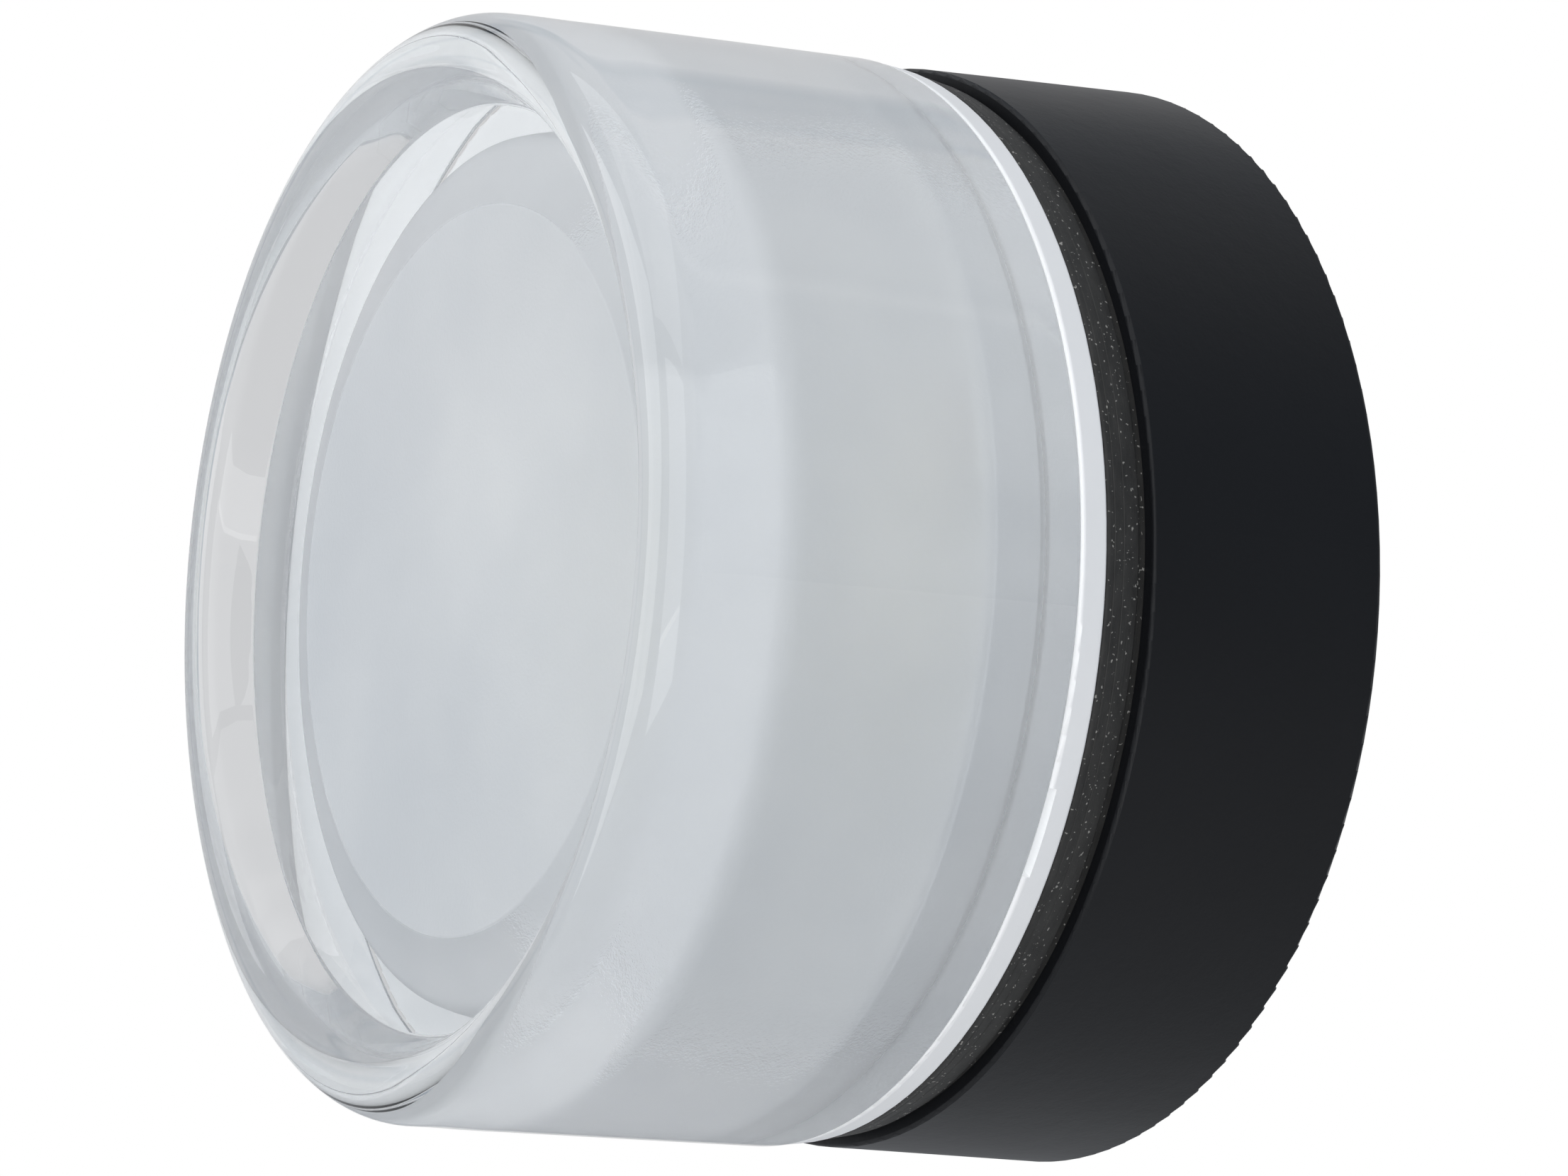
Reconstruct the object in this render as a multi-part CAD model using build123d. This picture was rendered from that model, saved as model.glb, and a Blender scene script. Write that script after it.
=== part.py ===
from build123d import *
import math
import os

# Round wall light with a screw-off pressed-glass shade. Millimetres.
# Every piece is drawn with the lamp's axis along +Z and the wall at level 0, so a
# "level" is a distance out from the wall. place() then turns the lamp to its own
# frame: the wall is the plane Y = 0, the glass faces -Y and +Z is up.

# ---- Driving dimensions ----
BODY_RADIUS = 60.0            # housing at the wall
HOUSING_DEPTH = 27.4
HOUSING_TAPER = 1.1           # radius lost from the wall to the front lip
HOUSING_WALL = 3.0
FLOOR_THICKNESS = 3.0
SEAL_HEIGHT = 5.3             # rubber seal between housing and slip ring
SLIP_RING_HEIGHT = 3.2
GLASS_DEPTH = 46.0            # foot of the glass to its crest
GLASS_WALL = 10.8             # side wall of the glass at its foot
GLASS_TAPER = 1.25            # radius lost from the foot to the front rounding
GLASS_FLOOR = 5.2             # between the frosted cavity and the recessed front
FRONT_RECESS = 5.9            # depth of the recessed front below the crest
RIM_WIDTH = 9.15              # rim from the outside to the recess's edge
THREAD_LEAD = 12.0            # travel for each full turn
THREAD_STARTS = 3
SCREW_SPACING = 70.0          # between the two wall screws
WALL_SCREW_HOLE = 2.6         # radius
CABLE_BORE = 4.2              # radius

# ---- Clearances ----
PRESS_GAP = 0.05
SCREW_GAP = 0.05
SLIDE_GAP = 0.4
THREAD_GAP = 0.35             # axial, each side of a lug
KEY_GAP_DEG = 0.6

# ---- Levels ----
SEAL_LEVEL = HOUSING_DEPTH
SLIP_LEVEL = SEAL_LEVEL + SEAL_HEIGHT
GLASS_LEVEL = SLIP_LEVEL + SLIP_RING_HEIGHT
CREST_LEVEL = GLASS_LEVEL + GLASS_DEPTH
RECESS_LEVEL = CREST_LEVEL - FRONT_RECESS
CAVITY_LEVEL = RECESS_LEVEL - GLASS_FLOOR

# ---- Housing ----
LIP_RADIUS = BODY_RADIUS - HOUSING_TAPER
LIP_ROUNDING = 0.4
INNER_RADIUS = LIP_RADIUS - HOUSING_WALL
FLOOR_ROUNDING = 2.0
REAR_EDGE = 0.6
GROOVE_OUTER = BODY_RADIUS - 4.0
GROOVE_WIDTH = 4.0
GROOVE_DEPTH = 1.6
SEAT_DEPTH = 4.0              # counterbore that takes the thread ring's flange
SEAT_LEDGE = 2.6
SEAT_LEDGE_HEIGHT = 3.4

# ---- Thread ring, seal and slip ring ----
SKIRT_WALL = 2.0
SKIRT_LENGTH = 10.4
SKIRT_GAP = 0.5               # between the skirt and the housing's ledge
RIB_DEPTH = 2.0
RIB_THICKNESS = 1.8
RIB_HALF_ANGLE = 38.0
RIB_DROP = 4.4                # rib's middle below the housing's lip
KEY_COUNT = 3
KEY_ANGLE = 60.0
KEY_HALF_ANGLE = 4.0
KEY_THICKNESS = 1.4
KEY_REACH = 1.9               # key below the housing's lip
KEY_SLOT_DEPTH = 2.4
SEAL_INSET = 0.3
SEAL_ROUNDING = 0.45
SEAL_NECK = 1.25              # radius lost at the neck beside the housing
SEAL_NECK_HEIGHT = 0.9
SEAL_TAPER = 0.7              # radius lost along the seal's bead
SLIP_ROUNDING = 0.45
SLIP_FLARE = 0.3
NOTCH_DEPTH = 0.75
NOTCH_ANGLE = -30.9           # middle of the notch, below the horizontal
NOTCH_HALF_ANGLE = 4.7
NOTCH_WIDTH = 2.6

# ---- Glass and its collar ----
GLASS_FRONT_ROUNDING = 4.3
GLASS_FOOT_ROUNDING = 0.5
RECESS_SLOPE = 2.4            # radius gained from the recess's edge to the crest
RECESS_ROUNDING = 0.4
CREST_ROUNDING = 3.5
CAVITY_TAPER = 2.4            # radius lost from the bonding land to the shoulder
CAVITY_SHOULDER = 7.0         # height of the sloped shoulder at the cavity's end
SHOULDER_SLOPE = 7.4          # radius lost along the shoulder
SHOULDER_ROUNDING = 5.0
CAVITY_ROUNDING = 0.6
BOND_DEPTH = 6.6              # straight bonding land at the mouth of the glass
BOND_GAP = 0.8                # adhesive thickness
ADHESIVE_LENGTH = 5.0
ADHESIVE_START = 0.6
COLLAR_WALL = 2.0
COLLAR_TOP_GAP = 0.5
COLLAR_BELOW_LUG = 0.6
LUG_THICKNESS = 1.5
LUG_HALF_ANGLE = 12.0
LUG_REST_ANGLE = -20.0        # lug's middle from its rib's middle, screwed home

# ---- LED tray and board ----
TRAY_GAP = 0.8                # to the bore of the collar
TRAY_THICKNESS = 1.5
TRAY_RIM = 1.5
TRAY_RIM_HEIGHT = 4.0
POST_RADIUS = 3.5
POST_CIRCLE = 38.0
POST_HEIGHT = 0.1             # posts stand this much proud of the lip
POST_WEB = 2.0
POST_WEB_LEVEL = 14.0
POST_COUNT = 3
BOARD_RADIUS = 31.0
BOARD_THICKNESS = 1.6
BOARD_SCREW_CIRCLE = 27.0
BOARD_BOSS_HEIGHT = 2.5
BOARD_BOSS_RADIUS = 3.0
CHIP_SIZE = 3.0
CHIP_HEIGHT = 0.7
CHIP_CIRCLES = ((6, 8.0), (12, 16.0))
CONNECTOR = (7.0, 6.0, 4.8)
CONNECTOR_AT = (23.0, 12.0)

# ---- Driver, terminals and earth ----
FIRST_PAD = 2.0               # height of the mounting pads over the floor
DRIVER = (56.0, 26.0, 13.0)
DRIVER_AT = (-3.0, 21.0)
DRIVER_SHELL = 1.5
DRIVER_EAR = 10.0
DRIVER_EAR_THICKNESS = 3.0
BLOCK = (32.0, 16.0, 13.0)
BLOCK_AT = (0.0, -19.0)
BLOCK_POLES = (-10.0, 0.0, 10.0)
BLOCK_SCREWS = (-5.0, 5.0)
POLE_RADIUS = 2.4
POLE_BORE = 1.5
POLE_LENGTH = 14.0
POLE_HEIGHT = 6.0             # pole's axis over the block's underside
POLE_SCREW_SPREAD = 4.5
POLE_SCREW_RADIUS = 1.2
POLE_SCREW_LENGTH = 4.2
CABLE_AT = (0.0, -38.0)
GROMMET_WALL = 1.3
GROMMET_FLANGE = 2.4
GROMMET_LIP = 1.4
EARTH_AT = (22.5, -36.0)
EARTH_BOSS_RADIUS = 4.0
EARTH_BOSS_HEIGHT = 3.0
LUG_RING = 3.8                # crimp lug's ring, outer radius
LUG_PLATE = 0.8
LUG_BARREL = 1.7
LUG_BARREL_LENGTH = 5.0
WALL_BOSS_RADIUS = 6.0
WALL_BOSS_HEIGHT = 2.5
SEAL_WASHER = 1.5
MAINS_LEAD = 0.9              # radius of the insulated leads
LED_LEAD = 0.5
LED_LEAD_SPREAD = 0.75
LED_LEAD_X = 33.0             # where the pair passes through the tray
TRAY_GROMMET_BORE = 1.9

# Screws: shank radius, head radius, head height
M3 = (1.5, 2.8, 1.7)
M25 = (1.25, 2.3, 1.5)
M4 = (2.0, 3.6, 2.2)


def place(piece):
    """Turn a piece drawn along +Z into the lamp's frame, with the glass towards -Y."""
    return Rotation(90, 0, 0) * piece


def save(name, piece):
    """Write one node, with its separate solids kept apart."""
    solids = [place(solid) for solid in piece.solids()]
    shape = solids[0] if len(solids) == 1 else Compound(children=solids)
    export_step(shape, f"parts/{name}.step")


def disc(radius, low, high, at=(0.0, 0.0)):
    """Round bar between two levels."""
    return Pos(at[0], at[1], (low + high) / 2) * Cylinder(radius, high - low)


def ring(inner, outer, low, high, at=(0.0, 0.0)):
    """Round tube between two levels."""
    return disc(outer, low, high, at) - disc(inner, low - 1, high + 1, at)


def block(size, low, at=(0.0, 0.0)):
    """Box that stands on a level."""
    return Pos(at[0], at[1], low + size[2] / 2) * Box(*size)


def sector(inner, outer, low, high, middle, half_angle):
    """Part of a tube, half_angle degrees to each side of the middle."""
    on_axis = (Align.NONE, Align.NONE, Align.CENTER)
    wedge = Cylinder(outer, high - low, arc_size=2 * half_angle, align=on_axis)
    wedge -= Cylinder(inner, high - low + 2)
    return Rot(0, 0, middle - half_angle) * (Pos(0, 0, (low + high) / 2) * wedge)


def turned(*corners):
    """Body of revolution from (radius, level, corner rounding) points."""
    outline = make_face(Polyline(*[(radius, level) for radius, level, _ in corners], close=True))
    for radius, level, rounding in corners:
        if rounding:
            corner = outline.vertices().sort_by_distance((radius, level, 0))[0]
            outline = fillet(corner, rounding)
    return revolve(Plane.XZ * outline, Axis.Z, 360)


def around(count, radius, start=0.0):
    """Points evenly spaced on a circle."""
    angles = [math.radians(start + 360.0 * i / count) for i in range(count)]
    return [(radius * math.cos(a), radius * math.sin(a)) for a in angles]


def screw(size, length, level, at):
    """Cross-recessed pan-head screw with the underside of its head on a level."""
    shank, head, height = size
    body = disc(shank, level - length, level, at)
    top = fillet(disc(head, level, level + height, at).edges().group_by(Axis.Z)[-1], height * 0.45)
    body += top
    for angle in (0, 90):
        slot = Box(head * 1.15, head * 0.26, height * 1.1)
        body -= Pos(at[0], at[1], level + height) * Rot(0, 0, angle) * slot
    return body


def helical(inner, outer, thickness, half_angle, level, middle):
    """Short stretch of screw thread: a tube sector between two planes tilted by the lead."""
    mean = (inner + outer) / 2
    tilt = math.degrees(math.atan(THREAD_LEAD / (2 * math.pi * mean)))
    slab = Rot(tilt, 0, 0) * Box(4 * outer, 4 * outer, thickness)
    piece = sector(inner, outer, -THREAD_LEAD, THREAD_LEAD, 0, half_angle) & slab
    return Pos(0, 0, level) * (Rot(0, 0, middle) * piece)


def lead(radius, points):
    """Insulated wire along straight runs joined by the largest tangent arcs that fit."""
    runs = [Vector(*b) - Vector(*a) for a, b in zip(points, points[1:])]
    radii = []
    for before, after in zip(runs, runs[1:]):
        half_turn = math.radians(before.get_angle(after)) / 2
        radii.append(0.45 * min(before.length, after.length) / math.tan(half_turn))
    print("lead radii", [round(r, 1) for r in radii], "for a", 2 * radius, "mm wire")
    path = FilletPolyline(*points, radius=radii)
    start = Plane(origin=points[0], z_dir=runs[0])
    return sweep(start * Circle(radius), path=path)


# ---- Sizes worked out from the driving ones ----
glass_foot = LIP_RADIUS + 0.1
bond_radius = glass_foot - GLASS_WALL
collar_outer = bond_radius - BOND_GAP
collar_inner = collar_outer - COLLAR_WALL
rib_inner = collar_outer + 1.0
skirt_inner = rib_inner + RIB_DEPTH
skirt_outer = skirt_inner + SKIRT_WALL
lug_outer = skirt_inner - SLIDE_GAP
key_inner = skirt_inner + SLIDE_GAP
key_outer = key_inner + KEY_THICKNESS
seal_inner = key_outer + SEAL_INSET
seal_outer = LIP_RADIUS - SEAL_INSET
slip_inner = collar_outer + SLIDE_GAP
seat_radius = LIP_RADIUS - HOUSING_WALL - 0.4
ledge_radius = seat_radius - SEAT_LEDGE
seat_level = HOUSING_DEPTH - SEAT_DEPTH
rib_level = HOUSING_DEPTH - RIB_DROP
lug_level = (rib_level + THREAD_LEAD * LUG_REST_ANGLE / 360
             - (RIB_THICKNESS + LUG_THICKNESS) / 2 - THREAD_GAP)
collar_low = lug_level - LUG_THICKNESS / 2 - COLLAR_BELOW_LUG - 0.2
tray_level = HOUSING_DEPTH + POST_HEIGHT
tray_radius = collar_inner - TRAY_GAP
board_level = tray_level + TRAY_THICKNESS
board_top = board_level + BOARD_THICKNESS
pad_level = FLOOR_THICKNESS + FIRST_PAD
pole_level = pad_level + POLE_HEIGHT
posts = around(POST_COUNT, POST_CIRCLE, 90)
board_screws = around(3, BOARD_SCREW_CIRCLE, 90)
wall_screws = [(-SCREW_SPACING / 2, 0.0), (SCREW_SPACING / 2, 0.0)]
driver_low_x = DRIVER_AT[0] - DRIVER[0] / 2
driver_high_x = DRIVER_AT[0] + DRIVER[0] / 2
driver_low_y = DRIVER_AT[1] - DRIVER[1] / 2
driver_ears = [(driver_low_x - DRIVER_EAR / 2, DRIVER_AT[1]),
               (driver_high_x + DRIVER_EAR / 2, DRIVER_AT[1])]
block_screw_points = [(BLOCK_AT[0] + x, BLOCK_AT[1]) for x in BLOCK_SCREWS]
earth_level = FLOOR_THICKNESS + EARTH_BOSS_HEIGHT
grommet_neck = CABLE_BORE + GROMMET_WALL


# ---- Housing body ----
def housing():
    """Die-cast can with its posts, pads, bosses and the groove for the wall gasket."""
    body = turned(
        (0, 0, 0),
        (BODY_RADIUS, 0, REAR_EDGE),
        (LIP_RADIUS, HOUSING_DEPTH, LIP_ROUNDING),
        (seat_radius, HOUSING_DEPTH, 0),
        (seat_radius, seat_level, 0),
        (ledge_radius, seat_level, 0),
        (ledge_radius, seat_level - SEAT_LEDGE_HEIGHT, 0),
        (INNER_RADIUS, seat_level - SEAT_LEDGE_HEIGHT - SEAT_LEDGE, 0),
        (INNER_RADIUS, FLOOR_THICKNESS, FLOOR_ROUNDING),
        (0, FLOOR_THICKNESS, 0),
    )
    base = FLOOR_THICKNESS - 0.5
    for point in posts:
        reach = INNER_RADIUS + 1 - POST_CIRCLE
        web = Box(reach, POST_WEB, POST_WEB_LEVEL - base)
        angle = math.degrees(math.atan2(point[1], point[0]))
        web = Pos(POST_CIRCLE + reach / 2, 0, (POST_WEB_LEVEL + base) / 2) * web
        body += disc(POST_RADIUS, base, tray_level, point)
        body += Rot(0, 0, angle) * web
    for point in driver_ears:
        body += disc(DRIVER_EAR * 0.42, base, pad_level, point)
    for point in block_screw_points:
        body += disc(4.0, base, pad_level, point)
    for point in wall_screws:
        body += disc(WALL_BOSS_RADIUS, base, FLOOR_THICKNESS + WALL_BOSS_HEIGHT, point)
    body += disc(EARTH_BOSS_RADIUS, base, earth_level, EARTH_AT)

    body -= ring(GROOVE_OUTER - GROOVE_WIDTH, GROOVE_OUTER, -1, GROOVE_DEPTH)
    body -= disc(grommet_neck, -1, FLOOR_THICKNESS + 1, CABLE_AT)
    body -= disc(grommet_neck + GROMMET_FLANGE + SCREW_GAP, -1, GROMMET_LIP, CABLE_AT)
    for point in wall_screws:
        body -= disc(WALL_SCREW_HOLE, -1, FLOOR_THICKNESS + WALL_BOSS_HEIGHT + 1, point)
    for point in posts:
        body -= disc(M3[0] + SCREW_GAP, tray_level - 9, tray_level + 1, point)
    for point in driver_ears + block_screw_points:
        body -= disc(M25[0] + SCREW_GAP, 1.2, pad_level + 1, point)
    body -= disc(M4[0] + SCREW_GAP, 1.2, earth_level + 1, EARTH_AT)
    return body


def wall_gasket():
    """Foam rubber ring, flush with the wall once the lamp is screwed down."""
    return ring(GROOVE_OUTER - GROOVE_WIDTH, GROOVE_OUTER, 0, GROOVE_DEPTH)


def cable_grommet():
    """Rubber grommet with a lip on each side of the floor."""
    lip = grommet_neck + GROMMET_FLANGE
    body = disc(lip, 0, GROMMET_LIP, CABLE_AT)
    body += disc(grommet_neck, 0, FLOOR_THICKNESS + GROMMET_LIP, CABLE_AT)
    top = disc(lip, FLOOR_THICKNESS, FLOOR_THICKNESS + GROMMET_LIP, CABLE_AT)
    body += fillet(top.edges().group_by(Axis.Z)[-1], GROMMET_LIP * 0.5)
    return body - disc(CABLE_BORE, -1, FLOOR_THICKNESS + GROMMET_LIP + 1, CABLE_AT)


def screw_seals():
    """Rubber washers that the wall screws clamp on their bosses."""
    level = FLOOR_THICKNESS + WALL_BOSS_HEIGHT
    seals = [ring(WALL_SCREW_HOLE, WALL_BOSS_RADIUS - 0.5, level, level + SEAL_WASHER, p)
             for p in wall_screws]
    return Compound(children=[s.solid() for s in seals])


def thread_ring():
    """Moulded ring with inward thread ribs and slots that stop the slip ring turning."""
    body = ring(skirt_inner, seat_radius - PRESS_GAP, seat_level, HOUSING_DEPTH)
    body += ring(skirt_inner, skirt_outer, HOUSING_DEPTH - SKIRT_LENGTH, HOUSING_DEPTH)
    for start in range(THREAD_STARTS):
        body += helical(rib_inner, skirt_inner + SKIRT_WALL / 2, RIB_THICKNESS,
                        RIB_HALF_ANGLE, rib_level, 360.0 * start / THREAD_STARTS)
    for key in range(KEY_COUNT):
        body -= sector(skirt_inner - 0.5, key_outer + 0.2, HOUSING_DEPTH - KEY_SLOT_DEPTH,
                       HOUSING_DEPTH + 1, KEY_ANGLE + 360.0 * key / KEY_COUNT,
                       KEY_HALF_ANGLE + KEY_GAP_DEG)
    return body


def front_gasket():
    """Rubber seal, a bead with a narrower neck, pressed between housing and slip ring."""
    neck_radius = seal_outer - SEAL_NECK
    bead_level = SEAL_LEVEL + SEAL_NECK_HEIGHT
    return turned(
        (seal_inner, SEAL_LEVEL, 0),
        (neck_radius, SEAL_LEVEL, 0),
        (neck_radius, bead_level, 0),
        (seal_outer - SEAL_TAPER, bead_level, SEAL_ROUNDING),
        (seal_outer, SLIP_LEVEL, SEAL_ROUNDING),
        (seal_inner, SLIP_LEVEL, 0),
    )


# ---- Tray with the LED board ----
def led_tray():
    """White pressed tray with an upturned rim, standing on the housing's posts."""
    body = turned(
        (0, tray_level, 0),
        (tray_radius, tray_level, TRAY_THICKNESS),
        (tray_radius, tray_level + TRAY_RIM_HEIGHT, 0),
        (tray_radius - TRAY_RIM, tray_level + TRAY_RIM_HEIGHT, 0),
        (tray_radius - TRAY_RIM, board_level, 0),
        (0, board_level, 0),
    )
    for point in board_screws:
        body += disc(BOARD_BOSS_RADIUS, tray_level - BOARD_BOSS_HEIGHT, tray_level + 0.5, point)
    for point in board_screws:
        body -= disc(M25[0] + SCREW_GAP, tray_level - BOARD_BOSS_HEIGHT - 1, board_level + 1, point)
    for point in posts:
        body -= disc(M3[0] + 0.2, tray_level - 1, board_level + 1, point)
    return body - disc(TRAY_GROMMET_BORE + 0.6, tray_level - 1, board_level + 1, tray_grommet_at())


def tray_grommet_at():
    """Where the LED leads pass through the tray."""
    return (LED_LEAD_X, CONNECTOR_AT[1])


def tray_grommet():
    """Small rubber grommet around the LED leads."""
    lip = 0.6
    body = disc(TRAY_GROMMET_BORE + 1.3, tray_level - lip, tray_level, tray_grommet_at())
    body += disc(TRAY_GROMMET_BORE + 0.6, tray_level - lip, board_level + lip, tray_grommet_at())
    body += disc(TRAY_GROMMET_BORE + 1.3, board_level, board_level + lip, tray_grommet_at())
    return body - disc(TRAY_GROMMET_BORE, tray_level - 2, board_level + 2, tray_grommet_at())


def tray_screws():
    """Three screws that hold the tray on its posts."""
    return Compound(children=[screw(M3, 9.0, board_level, p).solid() for p in posts])


def led_board():
    """Round circuit board."""
    body = disc(BOARD_RADIUS, board_level, board_top)
    for point in board_screws:
        body -= disc(M25[0] + 0.2, board_level - 1, board_top + 1, point)
    return body


def led_chips():
    """LED packages on two circles."""
    chips = []
    for count, circle in CHIP_CIRCLES:
        for x, y in around(count, circle):
            turn = math.degrees(math.atan2(y, x))
            chip = Rot(0, 0, turn) * Box(CHIP_SIZE, CHIP_SIZE, CHIP_HEIGHT)
            chips.append((Pos(x, y, board_top + CHIP_HEIGHT / 2) * chip).solid())
    return Compound(children=chips)


def board_screw_set():
    """Three screws that hold the board on the tray."""
    return Compound(children=[screw(M25, 5.0, board_top, p).solid() for p in board_screws])


def board_connector():
    """Two-way connector, open on the side where its leads arrive."""
    body = block(CONNECTOR, board_top, CONNECTOR_AT)
    edge = CONNECTOR_AT[0] + CONNECTOR[0] / 2
    for side in (-1, 1):
        hole = Rot(0, 90, 0) * Cylinder(LED_LEAD + 0.1, 4.0)
        body -= Pos(edge - 2.0 + 0.001, CONNECTOR_AT[1] + side * LED_LEAD_SPREAD,
                    board_top + CONNECTOR[2] / 2) * hole
    return body


# ---- Driver ----
def driver_case():
    """Plastic box with a fixing ear at each end, open at the top for its lid."""
    height = DRIVER[2] - DRIVER_SHELL
    body = block((DRIVER[0], DRIVER[1], height), pad_level, DRIVER_AT)
    body = fillet(body.edges().filter_by(Axis.Z), 1.5)
    inside = (DRIVER[0] - 2 * DRIVER_SHELL, DRIVER[1] - 2 * DRIVER_SHELL, height)
    body -= block(inside, pad_level + DRIVER_SHELL, DRIVER_AT)
    for x, y in driver_ears:
        end = DRIVER_AT[0] + math.copysign(DRIVER[0] / 2, x - DRIVER_AT[0])
        length = abs(x - end) + 0.5
        middle = (x + end - math.copysign(0.5, x - DRIVER_AT[0])) / 2
        body += block((length, DRIVER_EAR * 0.84, DRIVER_EAR_THICKNESS), pad_level, (middle, y))
        body += disc(DRIVER_EAR * 0.42, pad_level, pad_level + DRIVER_EAR_THICKNESS, (x, y))
        body -= disc(M25[0] + 0.2, pad_level - 1, pad_level + DRIVER_EAR_THICKNESS + 1, (x, y))
    return body


def driver_lid():
    """Flat lid with a lip that drops into the case."""
    top = pad_level + DRIVER[2]
    plate = block((DRIVER[0], DRIVER[1], DRIVER_SHELL), top - DRIVER_SHELL, DRIVER_AT)
    plate = fillet(plate.edges().filter_by(Axis.Z), 1.5)
    lip = 2 * DRIVER_SHELL + 0.2
    plug = (DRIVER[0] - lip, DRIVER[1] - lip, 1.0)
    return plate + block(plug, top - DRIVER_SHELL - 1.0, DRIVER_AT)


def driver_board():
    """Circuit board inside the driver."""
    size = (DRIVER[0] - 2 * DRIVER_SHELL - 1.0, DRIVER[1] - 2 * DRIVER_SHELL - 1.0, 1.2)
    return block(size, pad_level + DRIVER_SHELL, DRIVER_AT)


def driver_components():
    """Transformer, capacitors and choke on the driver's board."""
    level = pad_level + DRIVER_SHELL + 1.2
    x, y = DRIVER_AT
    room = DRIVER[2] - 2 * DRIVER_SHELL - 1.2 - 1.4
    pieces = [
        block((13.0, 12.0, room), level, (x - 2, y)),
        disc(4.0, level, level + room, (x + 14, y + 4)),
        disc(2.6, level, level + room * 0.8, (x + 14, y - 6)),
        block((6.0, 8.0, room * 0.7), level, (x - 17, y - 3)),
    ]
    return Compound(children=[p.solid() for p in pieces])


def driver_screws():
    """Two screws through the ears."""
    level = pad_level + DRIVER_EAR_THICKNESS
    return Compound(children=[screw(M25, 6.0, level, p).solid() for p in driver_ears])


# ---- Terminals and earth ----
def pole_points():
    """Centres of the clamp screws, two over each pole."""
    return [(BLOCK_AT[0] + x, BLOCK_AT[1] + side * POLE_SCREW_SPREAD)
            for x in BLOCK_POLES for side in (-1, 1)]


def along_y(radius, length, x):
    """Round bar along a pole of the terminal block."""
    return Pos(BLOCK_AT[0] + x, BLOCK_AT[1], pole_level) * Rot(90, 0, 0) * Cylinder(radius, length)


def terminal_block():
    """Three-pole block with wire channels, screw wells and two fixing holes."""
    body = block(BLOCK, pad_level, BLOCK_AT)
    body = chamfer(body.edges().filter_by(Axis.Y).group_by(Axis.Z)[-1], 1.0)
    top = pad_level + BLOCK[2]
    for x in BLOCK_POLES:
        body -= along_y(POLE_RADIUS + PRESS_GAP, BLOCK[1] + 2, x)
    for point in pole_points():
        body -= disc(POLE_SCREW_RADIUS + 0.3, pole_level, top + 1, point)
    for point in block_screw_points:
        body -= disc(M25[0] + 0.2, pad_level - 1, top + 1, point)
        body -= disc(M25[1] + 0.2, top - 4.0, top + 1, point)
    return body


def terminal_clamps():
    """Brass tube clamps, one in each pole."""
    clamps = []
    for x in BLOCK_POLES:
        clamp = along_y(POLE_RADIUS, POLE_LENGTH, x) - along_y(POLE_BORE, POLE_LENGTH + 2, x)
        for side in (-1, 1):
            point = (BLOCK_AT[0] + x, BLOCK_AT[1] + side * POLE_SCREW_SPREAD)
            clamp -= disc(POLE_SCREW_RADIUS + SCREW_GAP, pole_level, pole_level + 5, point)
        clamps.append(clamp.solid())
    return Compound(children=clamps)


def terminal_screws():
    """Slotted grub screws over the clamps."""
    low = pole_level + MAINS_LEAD + 0.1
    screws = []
    for point in pole_points():
        piece = disc(POLE_SCREW_RADIUS, low, low + POLE_SCREW_LENGTH, point)
        piece -= Pos(point[0], point[1], low + POLE_SCREW_LENGTH) * Box(4, 0.5, 1.4)
        screws.append(piece.solid())
    return Compound(children=screws)


def block_screws():
    """Two screws that hold the terminal block on its pads."""
    level = pad_level + BLOCK[2] - 4.0
    return Compound(children=[screw(M25, 12.0, level, p).solid() for p in block_screw_points])


def earth_lug():
    """Crimp lug: a ring under the earth screw and a barrel for the lead."""
    x, y = EARTH_AT
    reach = LUG_RING + 1.0
    body = disc(LUG_RING, earth_level, earth_level + LUG_PLATE, EARTH_AT)
    body += block((2.4, reach, LUG_PLATE), earth_level, (x, y + reach / 2))
    barrel = Rot(90, 0, 0) * Cylinder(LUG_BARREL, LUG_BARREL_LENGTH)
    bore = Rot(90, 0, 0) * Cylinder(MAINS_LEAD + 0.1, LUG_BARREL_LENGTH + 2)
    middle = (x, y + reach + LUG_BARREL_LENGTH / 2 - 0.3, earth_level + LUG_BARREL)
    body += Pos(*middle) * barrel
    body -= Pos(*middle) * bore
    return body - disc(M4[0] + 0.1, earth_level - 1, earth_level + 2, EARTH_AT)


def earth_screw():
    """Screw that clamps the earth lug to the housing."""
    return screw(M4, 4.5, earth_level + LUG_PLATE, EARTH_AT)


def mains_lead(pole, exit_x):
    """Lead from the driver's side into one pole of the terminal block."""
    x = BLOCK_AT[0] + pole
    gap_end = BLOCK_AT[1] + BLOCK[1] / 2
    return lead(MAINS_LEAD, [
        (exit_x, driver_low_y, pole_level),
        (exit_x, driver_low_y - 6.5, pole_level),
        (x, gap_end + 6.5, pole_level),
        (x, gap_end - 5.0, pole_level),
    ])


def earth_lead():
    """Lead from the earth pole round to the crimp lug."""
    x = BLOCK_AT[0] + BLOCK_POLES[2]
    gap_end = BLOCK_AT[1] + BLOCK[1] / 2
    lug_x, lug_y = EARTH_AT
    level = earth_level + LUG_BARREL
    end = lug_y + LUG_RING + 1.2
    return lead(MAINS_LEAD, [
        (x, gap_end - 5.0, pole_level),
        (x, gap_end + 12.0, pole_level),
        (lug_x, gap_end + 12.0, pole_level),
        (lug_x, end + 18.0, level + 1.0),
        (lug_x, end + 7.0, level),
        (lug_x, end, level),
    ])


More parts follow.
